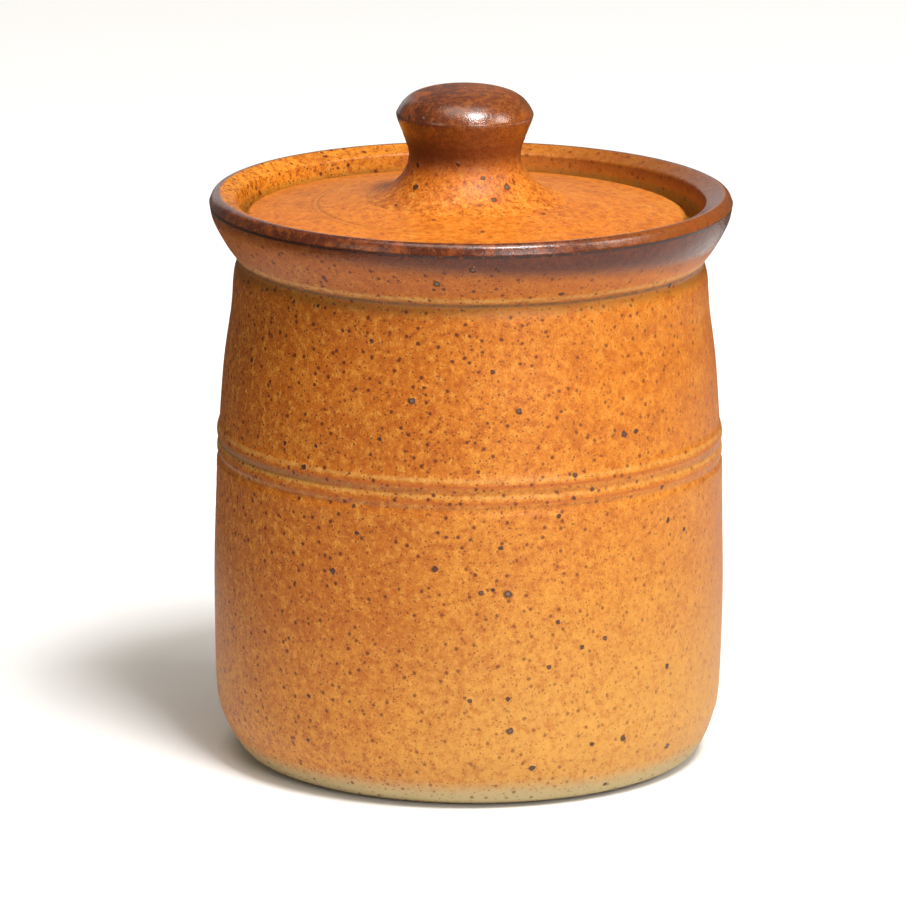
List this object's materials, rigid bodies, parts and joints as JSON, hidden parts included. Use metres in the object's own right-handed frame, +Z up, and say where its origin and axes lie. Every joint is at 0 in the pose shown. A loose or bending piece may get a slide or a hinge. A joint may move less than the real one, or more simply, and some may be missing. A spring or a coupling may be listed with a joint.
{
  "type": "stoneware storage jar",
  "caption": "Turned stoneware storage jar with a flared collar, raised rings round its body, and a loose disc lid with a mushroom knob set in the rim's gallery.",
  "frame": {"origin": "centre of the flat base, on the surface that the jar stands on", "axes": "+Z up along the jar's own turning axis, -Y towards the side that the picture shows"},
  "size_m": [0.133, 0.133, 0.1728],
  "materials": {
    "jar_glaze": "honey-orange speckled stoneware glaze, satin, dark brown and half glossy on the lip, grey-green and dry at the foot",
    "lid_glaze": "bright orange speckled stoneware glaze, satin, turning dark brown and glossy on the knob"
  },
  "bodies": {
    "root": {"jar": "jar_glaze", "lid": "lid_glaze"}
  },
  "joints": []
}
